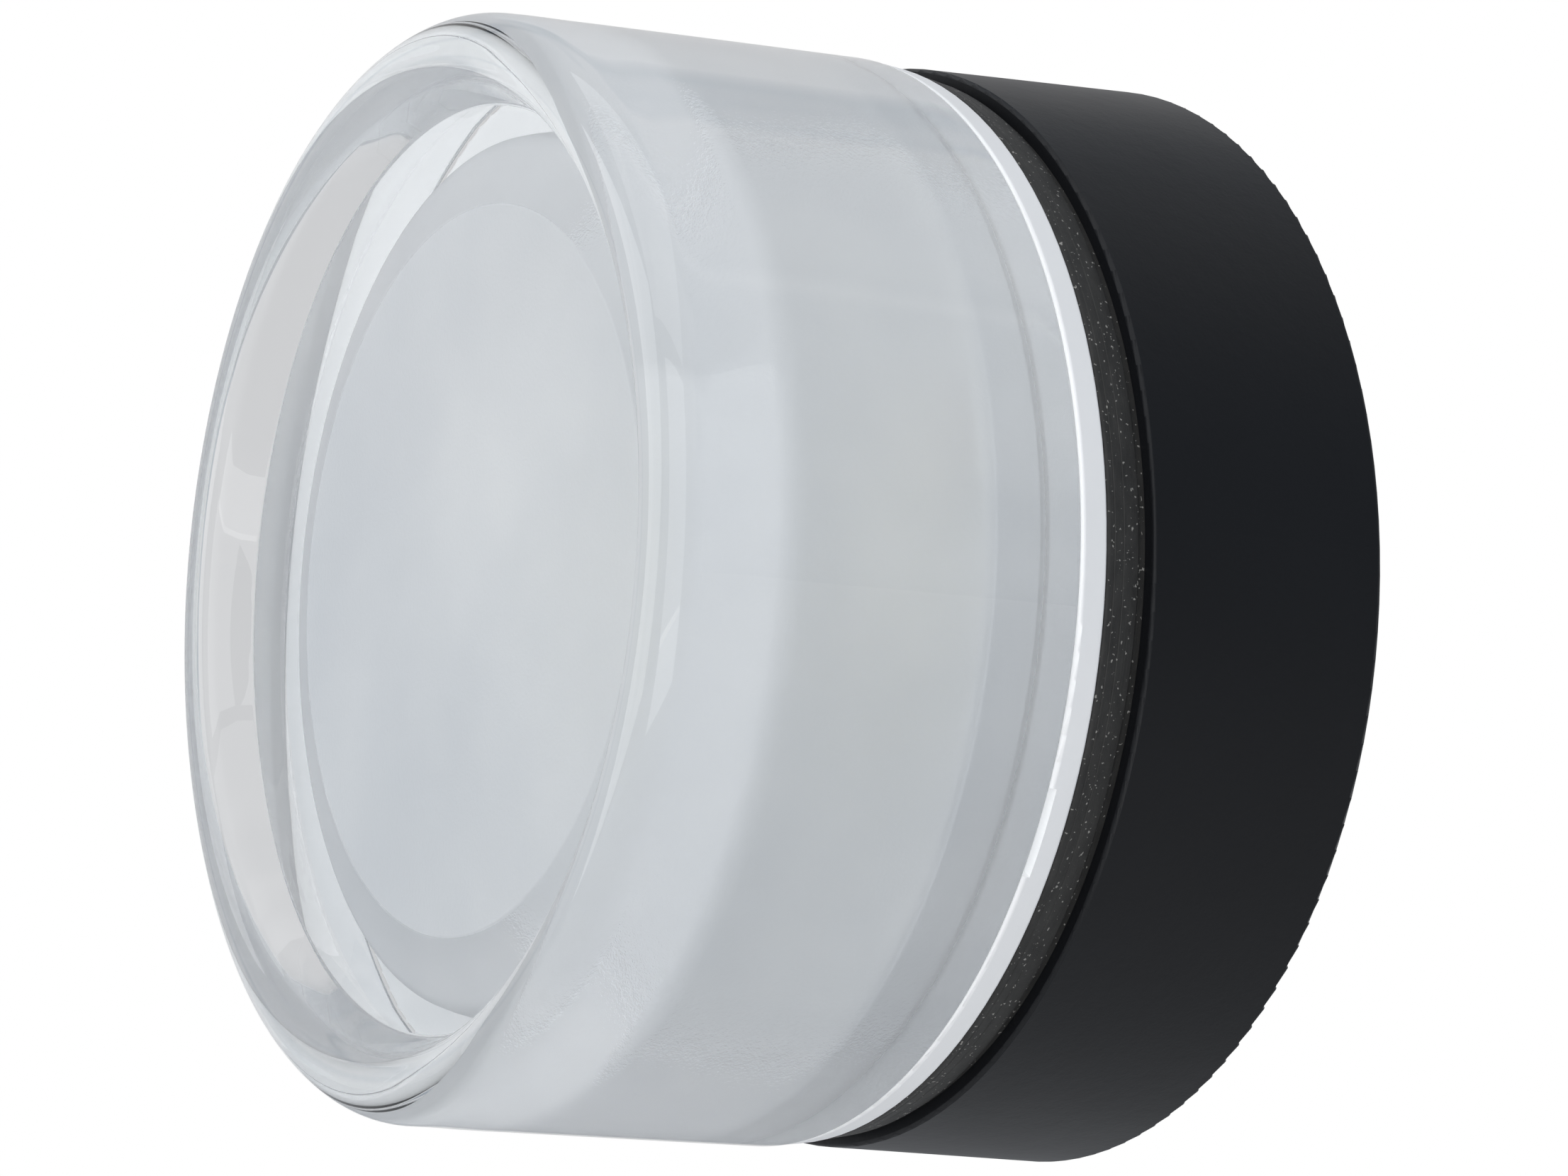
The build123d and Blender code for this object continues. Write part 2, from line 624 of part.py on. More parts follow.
def led_lead(side):
    """Lead from the driver's end up through the tray and into the board's connector."""
    y = CONNECTOR_AT[1] + side * LED_LEAD_SPREAD
    level = board_top + CONNECTOR[2] / 2
    return lead(LED_LEAD, [
        (driver_high_x, y, pole_level + 1.0),
        (LED_LEAD_X, y, pole_level + 1.0),
        (LED_LEAD_X, y, level),
        (CONNECTOR_AT[0] + CONNECTOR[0] / 2, y, level),
    ])


# ---- Slip ring body ----
def slip_ring():
    """White ring that the glass turns on, keyed to the thread ring, with one edge notch."""
    body = turned(
        (slip_inner, SLIP_LEVEL, 0),
        (LIP_RADIUS - SEAL_INSET, SLIP_LEVEL, SLIP_ROUNDING),
        (LIP_RADIUS - SEAL_INSET + SLIP_FLARE, GLASS_LEVEL, SLIP_ROUNDING),
        (slip_inner, GLASS_LEVEL, 0),
    )
    for key in range(KEY_COUNT):
        body += sector(key_inner, key_outer, HOUSING_DEPTH - KEY_REACH, SLIP_LEVEL + 0.5,
                       KEY_ANGLE + 360.0 * key / KEY_COUNT, KEY_HALF_ANGLE)
    return body - sector(LIP_RADIUS - NOTCH_WIDTH, LIP_RADIUS + 2, GLASS_LEVEL - NOTCH_DEPTH,
                         GLASS_LEVEL + 1, NOTCH_ANGLE, NOTCH_HALF_ANGLE)


# ---- Glass body ----
def glass_shade():
    """Thick pressed glass with a recessed front, a rounded rim and a tapered cavity behind."""
    front_radius = glass_foot - GLASS_TAPER
    recess_radius = front_radius - RIM_WIDTH
    shoulder_radius = bond_radius - CAVITY_TAPER
    return turned(
        (0, RECESS_LEVEL, 0),
        (recess_radius, RECESS_LEVEL, RECESS_ROUNDING),
        (recess_radius + RECESS_SLOPE, CREST_LEVEL, CREST_ROUNDING),
        (front_radius, CREST_LEVEL, GLASS_FRONT_ROUNDING),
        (glass_foot, GLASS_LEVEL, GLASS_FOOT_ROUNDING),
        (bond_radius, GLASS_LEVEL, 0),
        (bond_radius, GLASS_LEVEL + BOND_DEPTH, 0),
        (shoulder_radius, CAVITY_LEVEL - CAVITY_SHOULDER, SHOULDER_ROUNDING),
        (shoulder_radius - SHOULDER_SLOPE, CAVITY_LEVEL, CAVITY_ROUNDING),
        (0, CAVITY_LEVEL, 0),
    )


def glass_adhesive():
    """Cured adhesive between the glass and its collar."""
    low = GLASS_LEVEL + ADHESIVE_START
    return ring(collar_outer, bond_radius, low, low + ADHESIVE_LENGTH)


def screw_collar():
    """White collar bonded into the glass, with one thread lug for each start."""
    top = GLASS_LEVEL + BOND_DEPTH - COLLAR_TOP_GAP
    body = ring(collar_inner, collar_outer, collar_low, top)
    for start in range(THREAD_STARTS):
        body += helical(collar_outer - COLLAR_WALL / 2, lug_outer, LUG_THICKNESS, LUG_HALF_ANGLE,
                        lug_level, LUG_REST_ANGLE + 360.0 * start / THREAD_STARTS)
    return body


PIECES = {
    "housing": housing,
    "wall_gasket": wall_gasket,
    "cable_grommet": cable_grommet,
    "screw_seals": screw_seals,
    "thread_ring": thread_ring,
    "front_gasket": front_gasket,
    "led_tray": led_tray,
    "tray_grommet": tray_grommet,
    "tray_screws": tray_screws,
    "led_board": led_board,
    "led_chips": led_chips,
    "board_screws": board_screw_set,
    "board_connector": board_connector,
    "driver_case": driver_case,
    "driver_lid": driver_lid,
    "driver_board": driver_board,
    "driver_components": driver_components,
    "driver_screws": driver_screws,
    "terminal_block": terminal_block,
    "terminal_clamps": terminal_clamps,
    "terminal_screws": terminal_screws,
    "block_screws": block_screws,
    "earth_lug": earth_lug,
    "earth_screw": earth_screw,
    "live_lead": lambda: mains_lead(BLOCK_POLES[0], driver_low_x + 18.0),
    "neutral_lead": lambda: mains_lead(BLOCK_POLES[1], driver_low_x + 27.0),
    "earth_lead": earth_lead,
    "led_lead_positive": lambda: led_lead(1),
    "led_lead_negative": lambda: led_lead(-1),
    "slip_ring": slip_ring,
    "glass_shade": glass_shade,
    "glass_adhesive": glass_adhesive,
    "screw_collar": screw_collar,
}

os.makedirs("parts", exist_ok=True)
for name, make in PIECES.items():
    save(name, make())
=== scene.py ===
"""Looks of a round wall light: pressed-glass shade, white slip ring, rubber seal, black housing."""

import math

import bmesh
import bpy
from mathutils import Matrix, Vector, noise


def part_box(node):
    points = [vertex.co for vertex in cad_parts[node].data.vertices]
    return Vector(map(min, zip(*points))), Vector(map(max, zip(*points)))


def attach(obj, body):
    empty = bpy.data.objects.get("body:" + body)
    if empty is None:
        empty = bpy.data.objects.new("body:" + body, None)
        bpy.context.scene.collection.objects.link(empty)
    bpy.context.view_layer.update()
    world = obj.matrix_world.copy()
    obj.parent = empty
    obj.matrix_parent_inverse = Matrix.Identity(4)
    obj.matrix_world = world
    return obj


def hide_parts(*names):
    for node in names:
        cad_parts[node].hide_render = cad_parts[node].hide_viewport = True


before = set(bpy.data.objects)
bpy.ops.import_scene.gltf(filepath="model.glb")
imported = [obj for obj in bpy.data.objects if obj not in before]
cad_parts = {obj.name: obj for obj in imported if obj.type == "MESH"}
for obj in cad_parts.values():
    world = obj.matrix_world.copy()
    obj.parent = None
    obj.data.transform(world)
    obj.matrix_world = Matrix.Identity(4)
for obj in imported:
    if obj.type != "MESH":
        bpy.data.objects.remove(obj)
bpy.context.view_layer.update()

MM = 0.001
ROUND = 288                       # segments in a large turned piece
AIR_FILM = 0.05 * MM              # between the glass and the faces it meets


# ---- Places read from the frame ----
def reach(node):
    """Largest radius, wall-side level and glass-side level of a node about the lamp's axis."""
    low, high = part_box(node)
    return high.x, -high.y, -low.y


SEAL_RADIUS, SEAL_LOW, SEAL_HIGH = reach("front_gasket")
GLASS_RADIUS, GLASS_LOW, GLASS_HIGH = reach("glass_shade")
BOND_RADIUS = reach("glass_adhesive")[0]
COLLAR_TOP = reach("screw_collar")[2]


# ---- Outlines and turned meshes ----
def rounded(corners, steps=10):
    """Points along an outline whose (radius, level, rounding) corners become arcs."""
    points = []
    for i, (radius, level, rounding) in enumerate(corners):
        here = Vector((radius, level))
        if not rounding:
            points.append(here)
            continue
        before = (Vector(corners[i - 1][:2]) - here).normalized()
        after = (Vector(corners[(i + 1) % len(corners)][:2]) - here).normalized()
        half = before.angle(after) / 2
        start = here + before * (rounding / math.tan(half))
        centre = here + (before + after).normalized() * (rounding / math.sin(half))
        arm = start - centre
        sweep = math.pi - 2 * half
        turn = -math.copysign(sweep, before.x * after.y - before.y * after.x)
        for k in range(steps + 1):
            step = turn * k / steps
            cos, sin = math.cos(step), math.sin(step)
            points.append(centre + Vector((arm.x * cos - arm.y * sin, arm.x * sin + arm.y * cos)))
    return points


def subdivided(points, longest):
    """The same closed outline with its long stretches cut into shorter ones."""
    fine = []
    for i, here in enumerate(points):
        after = points[(i + 1) % len(points)]
        count = 1 if here.x + after.x < 1e-7 else max(1, math.ceil((after - here).length / longest))
        fine += [here.lerp(after, k / count) for k in range(count)]
    return fine


def at(radius, angle, level):
    """Point of the lamp's frame: the wall is Y = 0 and levels run towards -Y."""
    return Vector((radius * math.cos(angle), -level, radius * math.sin(angle)))


def new_object(name, mesh, body, materials):
    """Link a mesh as a piece of the lamp."""
    piece = bpy.data.objects.new(name, mesh)
    bpy.context.scene.collection.objects.link(piece)
    for material in materials:
        mesh.materials.append(material)
    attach(piece, body)
    return piece


def smooth(mesh, degrees=32):
    """Smooth shading that keeps corners crisp."""
    mesh.shade_smooth()
    mesh.set_sharp_from_angle(angle=math.radians(degrees))


def turned_mesh(name, outline, segments=ROUND, slot_of=None, shift=None):
    """Closed body of revolution; slot_of picks a material slot for each stretch of outline."""
    bm = bmesh.new()
    rings = []
    for point in outline:
        count = segments if point.x > 1e-7 else 1
        ring = []
        for k in range(count):
            place = at(point.x, 2 * math.pi * k / segments, point.y)
            ring.append(bm.verts.new(place + shift(place) if shift else place))
        rings.append(ring)
    for i, ring in enumerate(rings):
        after = rings[(i + 1) % len(rings)]
        if len(ring) == 1 and len(after) == 1:
            continue
        for k in range(segments):
            corners = [ring[k % len(ring)], ring[(k + 1) % len(ring)],
                       after[(k + 1) % len(after)], after[k % len(after)]]
            face = bm.faces.new(list(dict.fromkeys(corners)))
            if slot_of:
                face.material_index = slot_of(i)
    bmesh.ops.recalc_face_normals(bm, faces=bm.faces)
    mesh = bpy.data.meshes.new(name)
    bm.to_mesh(mesh)
    bm.free()
    smooth(mesh)
    return mesh


# ---- Materials ----
def new_material(name):
    """Empty node material with its Principled shader."""
    material = bpy.data.materials.new(name)
    material.use_nodes = True
    return material, material.node_tree, material.node_tree.nodes["Principled BSDF"]


def node(tree, kind, **inputs):
    """Add a node and set its inputs by socket name."""
    made = tree.nodes.new(kind)
    for key, value in inputs.items():
        made.inputs[key.replace("_", " ")].default_value = value
    return made


def fine_noise(tree, scale, detail=4.0, stretch=(1, 1, 1)):
    """Noise in the piece's own coordinates, its scale in features per metre."""
    where = tree.nodes.new("ShaderNodeTexCoord")
    mapping = tree.nodes.new("ShaderNodeMapping")
    mapping.inputs["Scale"].default_value = stretch
    tree.links.new(where.outputs["Object"], mapping.inputs["Vector"])
    made = node(tree, "ShaderNodeTexNoise", Scale=scale, Detail=detail, Roughness=0.6)
    tree.links.new(mapping.outputs["Vector"], made.inputs["Vector"])
    return made.outputs["Fac"]


def ramp(tree, source, stops):
    """Colour ramp from (position, colour) stops."""
    made = tree.nodes.new("ShaderNodeValToRGB")
    elements = made.color_ramp.elements
    elements[0].position, elements[0].color = stops[0][0], (*stops[0][1], 1)
    elements[1].position, elements[1].color = stops[-1][0], (*stops[-1][1], 1)
    for position, colour in stops[1:-1]:
        elements.new(position).color = (*colour, 1)
    tree.links.new(source, made.inputs["Fac"])
    return made.outputs["Color"]


def tone(colour, factor):
    """A colour made lighter or darker."""
    return tuple(min(1.0, channel * factor) for channel in colour)


def bump(tree, shader, height, distance, strength=1.0, below=None):
    """Bump on the shader's normal, stacked on another bump if given."""
    made = node(tree, "ShaderNodeBump", Strength=strength, Distance=distance)
    tree.links.new(height, made.inputs["Height"])
    if below:
        tree.links.new(below.outputs["Normal"], made.inputs["Normal"])
    tree.links.new(made.outputs["Normal"], shader.inputs["Normal"])
    return made


def finish(name, colour, roughness, spread=0.06, mottle=0.08, grain=1500.0, relief=0.02 * MM,
           metallic=0.0, patch=40.0, coat=0.0, specular=0.5):
    """Moulded, painted or metal surface with mottled colour, uneven gloss and fine grain."""
    material, tree, shader = new_material(name)
    patches = fine_noise(tree, patch, 6.0)
    shade = ramp(tree, patches, [(0.3, tone(colour, 1 - mottle)), (0.7, tone(colour, 1 + mottle))])
    tree.links.new(shade, shader.inputs["Base Color"])
    gloss = node(tree, "ShaderNodeMapRange")
    gloss.inputs["To Min"].default_value = roughness - spread
    gloss.inputs["To Max"].default_value = roughness + spread
    tree.links.new(fine_noise(tree, patch * 3), gloss.inputs["Value"])
    tree.links.new(gloss.outputs["Result"], shader.inputs["Roughness"])
    shader.inputs["Metallic"].default_value = metallic
    shader.inputs["Coat Weight"].default_value = coat
    shader.inputs["Specular IOR Level"].default_value = specular
    bump(tree, shader, fine_noise(tree, grain, 2.0), relief)
    return material


def housing_paint():
    """Black satin powder coat: a faint orange-peel over a very fine grain."""
    material = finish("black_powder_coat", (0.0065, 0.007, 0.0085), 0.42, spread=0.03, mottle=0.12,
                      grain=2600, relief=0.012 * MM, patch=25, specular=0.23)
    tree = material.node_tree
    shader = tree.nodes["Principled BSDF"]
    grain = next(n for n in tree.nodes if n.type == "BUMP")
    bump(tree, shader, fine_noise(tree, 520, 2.0), 0.03 * MM, below=grain)
    return material


def seal_rubber():
    """Black moulded rubber with a matt skin, dust specks and fine lines round it."""
    material, tree, shader = new_material("seal_rubber")
    base = ramp(tree, fine_noise(tree, 260, 8.0, (1, 2.5, 1)),
                [(0.3, (0.018, 0.0175, 0.0165)), (0.62, (0.032, 0.031, 0.029)), (0.8, (0.05, 0.048, 0.045))])
    specks = ramp(tree, fine_noise(tree, 2300, 1.0), [(0.68, (0, 0, 0)), (0.72, (1, 1, 1))])
    dust = node(tree, "ShaderNodeMix")
    dust.data_type = "RGBA"
    dust.inputs[7].default_value = (0.3, 0.29, 0.27, 1)
    tree.links.new(specks, dust.inputs[0])
    tree.links.new(base, dust.inputs[6])
    tree.links.new(dust.outputs[2], shader.inputs["Base Color"])
    shader.inputs["Roughness"].default_value = 0.62
    shader.inputs["Specular IOR Level"].default_value = 0.42
    lines = bump(tree, shader, fine_noise(tree, 90, 3.0, (1, 60, 1)), 0.03 * MM)
    bump(tree, shader, fine_noise(tree, 1900, 3.0), 0.035 * MM, below=lines)
    return material


def see_through_shadows(material, tree, shader, colour):
    """Let light from the lamps reach what is behind the glass."""
    path = tree.nodes.new("ShaderNodeLightPath")
    clear = node(tree, "ShaderNodeBsdfTransparent", Color=(*colour, 1))
    mix = tree.nodes.new("ShaderNodeMixShader")
    tree.links.new(path.outputs["Is Shadow Ray"], mix.inputs[0])
    tree.links.new(shader.outputs["BSDF"], mix.inputs[1])
    tree.links.new(clear.outputs["BSDF"], mix.inputs[2])
    tree.links.new(mix.outputs["Shader"], tree.nodes["Material Output"].inputs["Surface"])
    return material


def clear_glass():
    """Fire-polished outside of the pressed glass; the slight waves of its mould are shaped into its mesh."""
    material, tree, shader = new_material("clear_glass")
    shader.inputs["Base Color"].default_value = (0.985, 0.993, 0.995, 1)
    shader.inputs["Roughness"].default_value = 0.0
    shader.inputs["IOR"].default_value = 1.5
    shader.inputs["Transmission Weight"].default_value = 1.0
    return see_through_shadows(material, tree, shader, (0.96, 0.97, 0.975))


def frosted_glass():
    """Sandblasted cavity: rough, milky and slightly uneven."""
    material, tree, shader = new_material("frosted_glass")
    milk = ramp(tree, fine_noise(tree, 24, 3.0), [(0.3, (0.78, 0.80, 0.825)), (0.7, (0.9, 0.91, 0.92))])
    tree.links.new(milk, shader.inputs["Base Color"])
    shader.inputs["Roughness"].default_value = 0.75
    shader.inputs["IOR"].default_value = 1.5
    shader.inputs["Transmission Weight"].default_value = 0.45
    bump(tree, shader, fine_noise(tree, 2200, 3.0), 0.02 * MM)
    return see_through_shadows(material, tree, shader, (0.62, 0.63, 0.64))


def striped_insulation():
    """Green insulation with a yellow stripe along the lead."""
    material, tree, shader = new_material("green_yellow_insulation")
    stripes = ramp(tree, fine_noise(tree, 420, 0.0, (1, 0.2, 0.2)),
                   [(0.49, (0.06, 0.3, 0.05)), (0.51, (0.75, 0.62, 0.05))])
    tree.links.new(stripes, shader.inputs["Base Color"])
    shader.inputs["Roughness"].default_value = 0.4
    return material


def board_mask():
    """White solder mask with faint raised tracks."""
    material, tree, shader = new_material("white_solder_mask")
    tone_map = ramp(tree, fine_noise(tree, 120, 2.0), [(0.4, (0.74, 0.75, 0.74)), (0.6, (0.8, 0.81, 0.8))])
    tree.links.new(tone_map, shader.inputs["Base Color"])
    shader.inputs["Roughness"].default_value = 0.35
    where = tree.nodes.new("ShaderNodeTexCoord")
    cells = node(tree, "ShaderNodeTexVoronoi", Scale=190.0)
    cells.feature = "DISTANCE_TO_EDGE"
    tree.links.new(where.outputs["Object"], cells.inputs["Vector"])
    tracks = ramp(tree, cells.outputs["Distance"], [(0.05, (0, 0, 0)), (0.09, (1, 1, 1))])
    bump(tree, shader, tracks, 0.035 * MM)
    return material


CLEAR = clear_glass()
FROSTED = frosted_glass()
PAINT = housing_paint()
SEAL = seal_rubber()
WHITE_RING = finish("white_nylon", (0.93, 0.93, 0.93), 0.42, mottle=0.02, grain=1200, relief=0.01 * MM)

NODE_MATERIALS = {
    "wall_gasket": finish("foam_rubber", (0.05, 0.05, 0.052), 0.85, grain=900, relief=0.15 * MM),
    "cable_grommet": finish("grommet_rubber", (0.06, 0.06, 0.062), 0.6),
    "screw_seals": finish("washer_rubber", (0.045, 0.045, 0.047), 0.65),
    "tray_grommet": finish("small_grommet_rubber", (0.05, 0.05, 0.05), 0.6),
    "thread_ring": finish("moulded_nylon", (0.74, 0.74, 0.72), 0.4, mottle=0.03),
    "screw_collar": finish("collar_nylon", (0.76, 0.76, 0.74), 0.38, mottle=0.03),
    "led_tray": finish("reflector_paint", (0.82, 0.82, 0.81), 0.35, mottle=0.02, grain=700, relief=0.02 * MM),
    "led_board": board_mask(),
    "board_connector": finish("connector_nylon", (0.72, 0.69, 0.6), 0.4),
    "driver_case": finish("driver_plastic", (0.66, 0.66, 0.64), 0.5, grain=900, relief=0.05 * MM),
    "driver_lid": finish("driver_lid_plastic", (0.68, 0.68, 0.66), 0.5, grain=900, relief=0.05 * MM),
    "driver_board": finish("green_laminate", (0.03, 0.16, 0.07), 0.35, grain=1600),
    "driver_components": finish("component_plastic", (0.05, 0.06, 0.09), 0.4),
    "terminal_block": finish("polyamide", (0.7, 0.68, 0.6), 0.45),
    "terminal_clamps": finish("turned_brass", (0.72, 0.52, 0.22), 0.28, metallic=1.0, patch=200),
    "tray_screws": finish("zinc_plate", (0.62, 0.63, 0.64), 0.3, metallic=1.0, patch=300),
    "earth_screw": finish("brass_screw", (0.7, 0.5, 0.22), 0.3, metallic=1.0, patch=300),
    "earth_lug": finish("tinned_copper", (0.66, 0.66, 0.63), 0.28, metallic=1.0, patch=250),
    "live_lead": finish("brown_pvc", (0.13, 0.05, 0.025), 0.4),
    "neutral_lead": finish("blue_pvc", (0.02, 0.1, 0.4), 0.4),
    "earth_lead": striped_insulation(),
    "led_lead_positive": finish("red_pvc", (0.45, 0.02, 0.02), 0.4),
    "led_lead_negative": finish("black_pvc", (0.012, 0.012, 0.012), 0.4),
    "glass_adhesive": finish("cured_silicone", (0.7, 0.71, 0.71), 0.3, mottle=0.04),
    "led_chips": finish("phosphor", (0.85, 0.7, 0.18), 0.45, mottle=0.05, grain=2500),
    "slip_ring": WHITE_RING,
    "front_gasket": SEAL,
    "housing": PAINT,
    "glass_shade": CLEAR,
}
for screws in ("board_screws", "driver_screws", "block_screws", "terminal_screws"):
    NODE_MATERIALS[screws] = NODE_MATERIALS["tray_screws"]


def dress_cad_nodes():
    """Give every CAD node its material and smooth shading."""
    for name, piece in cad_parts.items():
        piece.data.materials.clear()
        piece.data.materials.append(NODE_MATERIALS[name])
        smooth(piece.data, 30)


# ---- Glass shade ----
SIDE_TAPER = 1.25 * MM            # radius lost from the foot to the front
RIM_WIDTH = 9.15 * MM
RIM_SLOPE = 2.4 * MM              # radius gained from the recess's edge to the crest
RECESS_DEPTH = 5.9 * MM
FLOOR_THICKNESS = 5.2 * MM        # between the recess and the cavity
RECESS_ROUNDING = 0.4 * MM
CREST_ROUNDING = 3.5 * MM
FRONT_ROUNDING = 4.3 * MM
FOOT_ROUNDING = 0.5 * MM
COLLAR_CLEARANCE = 0.5 * MM       # from the collar to the end of the bonding land
CAVITY_TAPER = 2.4 * MM           # radius lost from the bonding land to the shoulder
SHOULDER_HEIGHT = 7.0 * MM
SHOULDER_SLOPE = 7.4 * MM         # radius lost along the shoulder
SHOULDER_ROUNDING = 5.0 * MM
CAVITY_ROUNDING = 0.6 * MM
GLASS_SEGMENTS = 360
ARC_STEPS = 14                    # in each rounding of the glass
LONGEST_STRETCH = 2 * MM          # along the glass's outline
SLOW_WAVE = 0.04 * MM
RIM_WAVE = 0.16 * MM
WAVES_START = 14 * MM             # below the crest
WAVES_FULL = 8 * MM


def glass_outline():
    """Corners of the pressed glass: its clear outside, then its frosted cavity."""
    front = GLASS_RADIUS - SIDE_TAPER
    recess = front - RIM_WIDTH
    recess_level = GLASS_HIGH - RECESS_DEPTH
    end_level = recess_level - FLOOR_THICKNESS
    shoulder = BOND_RADIUS - CAVITY_TAPER
    foot_level = GLASS_LOW + AIR_FILM
    land = BOND_RADIUS + AIR_FILM
    outside = [
        (0, recess_level, 0),
        (recess, recess_level, RECESS_ROUNDING),
        (recess + RIM_SLOPE, GLASS_HIGH, CREST_ROUNDING),
        (front, GLASS_HIGH, FRONT_ROUNDING),
        (GLASS_RADIUS, foot_level, FOOT_ROUNDING),
        (land, foot_level, 0),
    ]
    inside = [
        (land, COLLAR_TOP + COLLAR_CLEARANCE, 0),
        (shoulder, end_level - SHOULDER_HEIGHT, SHOULDER_ROUNDING),
        (shoulder - SHOULDER_SLOPE, end_level, CAVITY_ROUNDING),
        (0, end_level, 0),
    ]
    return outside, inside


def mould_wave(place):
    """Shallow waves that a mould leaves in thick glass: slow ones all over, drawn-out ones in the rim."""
    radial = Vector((place.x, 0, place.z))
    if radial.length < 1 * MM:
        return Vector()
    outwards = radial.normalized()
    slow = noise.noise(place * 38.0) * SLOW_WAVE
    drawn = noise.noise(Vector((radial.length * 170, place.y * 170, 0)) + outwards * 1.4) * RIM_WAVE
    past_start = -place.y - GLASS_HIGH + WAVES_START
    at_rim = min(1.0, max(0.0, past_start / (WAVES_START - WAVES_FULL)))
    return outwards * (slow + drawn * at_rim)


def build_glass():
    """Thick pressed glass, clear outside and sandblasted inside."""
    outside, inside = glass_outline()
    points = subdivided(rounded(outside + inside, ARC_STEPS), LONGEST_STRETCH)
    mouth = Vector((BOND_RADIUS, GLASS_LOW))
    cavity_starts = min(range(len(points)), key=lambda i: (points[i] - mouth).length)
    mesh = turned_mesh("pressed_glass", points, GLASS_SEGMENTS, lambda i: int(i >= cavity_starts), mould_wave)
    piece = new_object("pressed_glass", mesh, "glass_unit", [CLEAR, FROSTED])
    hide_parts("glass_shade")


# ---- Rubber seal ----
SEAL_WIDTH = 6.1 * MM
NECK_DEPTH = 1.25 * MM
NECK_HEIGHT = 0.9 * MM
BEAD_TAPER = 0.7 * MM
BEAD_ROUNDING = 0.45 * MM
MOULD_LINES = (0.5, 0.78)         # shares of the bead's height
LINE_HALF_WIDTH = 0.09 * MM
LINE_DEPTH = 0.07 * MM


def build_seal():
    """Rubber seal: a narrow neck at the housing, then a bead with two fine mould lines."""
    inner = SEAL_RADIUS - SEAL_WIDTH
    neck = SEAL_RADIUS - NECK_DEPTH
    bead = SEAL_LOW + NECK_HEIGHT

    def outside(level):
        return SEAL_RADIUS - BEAD_TAPER * (SEAL_HIGH - level) / (SEAL_HIGH - bead)

    corners = [(inner, SEAL_LOW, 0), (neck, SEAL_LOW, 0), (neck, bead, 0),
               (outside(bead), bead, BEAD_ROUNDING)]
    for share in MOULD_LINES:
        level = bead + (SEAL_HIGH - bead) * share
        low, high = level - LINE_HALF_WIDTH, level + LINE_HALF_WIDTH
        corners += [(outside(low), low, 0), (outside(level) - LINE_DEPTH, level, 0),
                    (outside(high), high, 0)]
    corners += [(SEAL_RADIUS, SEAL_HIGH, BEAD_ROUNDING), (inner, SEAL_HIGH, 0)]
    mesh = turned_mesh("rubber_seal", rounded(corners, 8))
    piece = new_object("rubber_seal", mesh, "housing", [SEAL])
    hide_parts("front_gasket")


# ---- Studio ----
STUDIO_BACKDROP = (-0.85, 0.5, 0.16)      # the bands run round this direction, behind the lamp
STUDIO_TONES = [(0.0, (0.34, 0.37, 0.41)), (0.22, (0.5, 0.53, 0.57)), (0.3, (0.12, 0.16, 0.21)),
                (0.42, (0.2, 0.24, 0.29)), (0.47, (0.62, 0.64, 0.67)), (0.53, (0.16, 0.2, 0.25)),
                (0.62, (0.5, 0.52, 0.55)), (0.78, (0.62, 0.62, 0.63)), (0.83, (0.2, 0.25, 0.31)),
                (0.88, (0.7, 0.7, 0.71)), (1.0, (0.62, 0.62, 0.63))]
LAMP_MIDDLE = (0, -0.04, 0)
STUDIO_UNEVENNESS = 0.5           # how far noise moves the studio's tones


def studio_world():
    """White to the camera; to everything else a studio of uneven bright and dim bands."""
    world = bpy.data.worlds.new("studio")
    bpy.context.scene.world = world
    world.use_nodes = True
    tree = world.node_tree
    studio = tree.nodes["Background"]
    where = tree.nodes.new("ShaderNodeTexCoord")
    facing = tree.nodes.new("ShaderNodeVectorMath")
    facing.operation = "DOT_PRODUCT"
    facing.inputs[1].default_value = STUDIO_BACKDROP
    tree.links.new(where.outputs["Generated"], facing.inputs[0])
    share = node(tree, "ShaderNodeMapRange")
    share.inputs["From Min"].default_value = -1.0
    tree.links.new(facing.outputs["Value"], share.inputs["Value"])
    uneven = node(tree, "ShaderNodeTexNoise", Scale=2.2, Detail=1.0)
    tree.links.new(where.outputs["Generated"], uneven.inputs["Vector"])
    lowered = node(tree, "ShaderNodeMath")
    lowered.operation = "SUBTRACT"
    lowered.inputs[1].default_value = STUDIO_UNEVENNESS / 2
    tree.links.new(share.outputs["Result"], lowered.inputs[0])
    mixed = node(tree, "ShaderNodeMath")
    mixed.operation = "MULTIPLY_ADD"
    mixed.inputs[1].default_value = STUDIO_UNEVENNESS
    tree.links.new(uneven.outputs["Fac"], mixed.inputs[0])
    tree.links.new(lowered.outputs["Value"], mixed.inputs[2])
    tones = ramp(tree, mixed.outputs["Value"], STUDIO_TONES)
    tree.links.new(tones, studio.inputs["Color"])
    white = node(tree, "ShaderNodeBackground", Color=(1, 1, 1, 1), Strength=1.0)
    path = tree.nodes.new("ShaderNodeLightPath")
    mix = tree.nodes.new("ShaderNodeMixShader")
    tree.links.new(path.outputs["Is Camera Ray"], mix.inputs[0])
    tree.links.new(studio.outputs["Background"], mix.inputs[1])
    tree.links.new(white.outputs["Background"], mix.inputs[2])
    tree.links.new(mix.outputs["Shader"], tree.nodes["World Output"].inputs["Surface"])


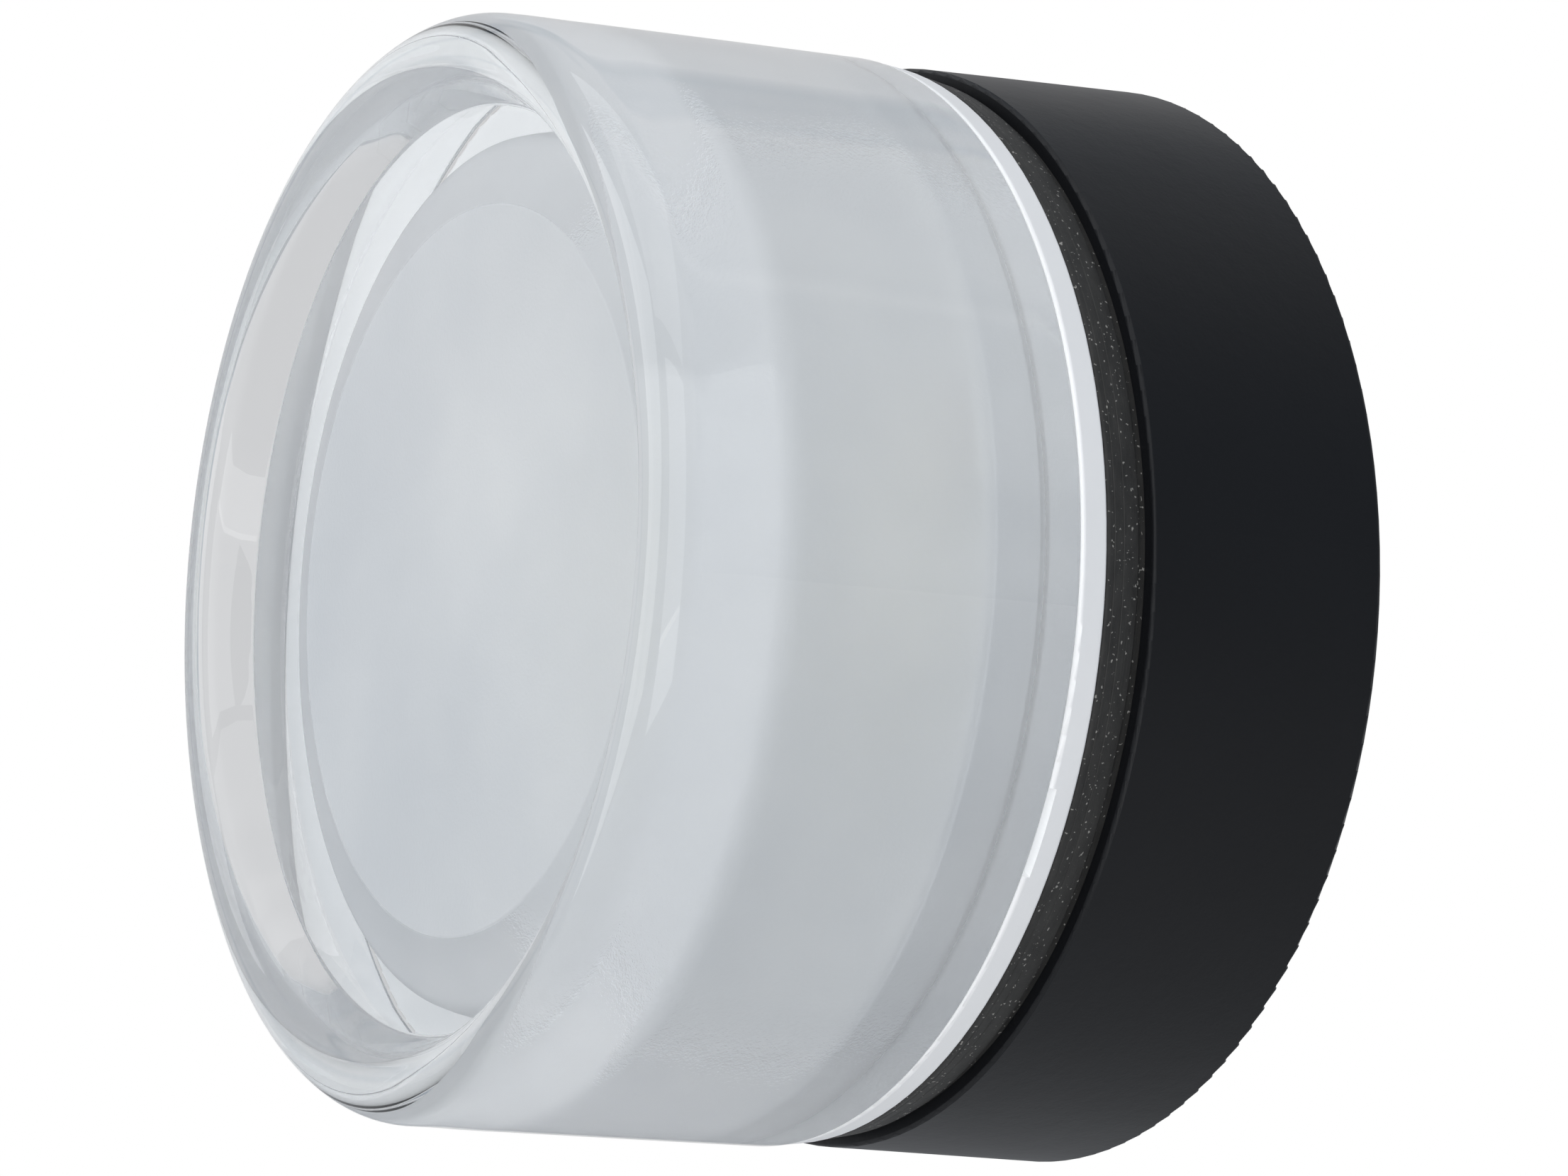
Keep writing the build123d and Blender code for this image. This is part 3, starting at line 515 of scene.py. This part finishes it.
def softbox(name, place, target, size, power):
    """Rectangular area light aimed at a point."""
    data = bpy.data.lights.new(name, "AREA")
    data.shape = "RECTANGLE"
    data.size, data.size_y = size
    data.energy = power
    lamp = bpy.data.objects.new(name, data)
    lamp.location = place
    lamp.rotation_euler = (Vector(target) - Vector(place)).to_track_quat("-Z", "Y").to_euler()
    lamp.visible_transmission = False
    bpy.context.scene.collection.objects.link(lamp)


def pale_floor():
    """Plain pale floor below the lamp."""
    half, level = 3.0, -0.34
    mesh = bpy.data.meshes.new("floor")
    mesh.from_pydata([(-half, -half, level), (half, -half, level), (half, half, level), (-half, half, level)],
                     [], [(0, 1, 2, 3)])
    material, tree, shader = new_material("pale_floor")
    shader.inputs["Base Color"].default_value = (0.82, 0.82, 0.82, 1)
    shader.inputs["Roughness"].default_value = 0.8
    mesh.materials.append(material)
    floor = bpy.data.objects.new("floor", mesh)
    bpy.context.scene.collection.objects.link(floor)


def place_camera():
    """Camera just below the lamp's axis, well round to its right, looking a little upwards."""
    azimuth, elevation = math.radians(59.46), math.radians(-9.07)
    distance, aside, above = 0.52404, 0.030204, -0.004062
    back = Vector((math.sin(azimuth) * math.cos(elevation), -math.cos(azimuth) * math.cos(elevation),
                   math.sin(elevation)))
    right = Vector((math.cos(azimuth), math.sin(azimuth), 0))
    up = back.cross(right)
    data = bpy.data.cameras.new("camera")
    data.lens, data.sensor_width = 107.1, 36.0
    camera = bpy.data.objects.new("camera", data)
    camera.matrix_world = Matrix.Translation(back * distance - right * aside - up * above) @ \
        Matrix((right, up, back)).transposed().to_4x4()
    bpy.context.scene.collection.objects.link(camera)
    bpy.context.scene.camera = camera


place_camera()
dress_cad_nodes()
build_glass()
build_seal()
studio_world()
pale_floor()
softbox("top", (0.35, -0.45, 1.0), LAMP_MIDDLE, (1.2, 1.2), 4.3)
softbox("front", (-0.35, -1.2, 0.25), LAMP_MIDDLE, (0.9, 1.1), 5.5)
softbox("side", (0.95, -0.95, 0.1), LAMP_MIDDLE, (1.0, 1.2), 5.0)
softbox("fill", (0.5, -0.5, -0.3), LAMP_MIDDLE, (0.5, 0.3), 0.8)
bpy.context.scene.view_settings.view_transform = "Standard"
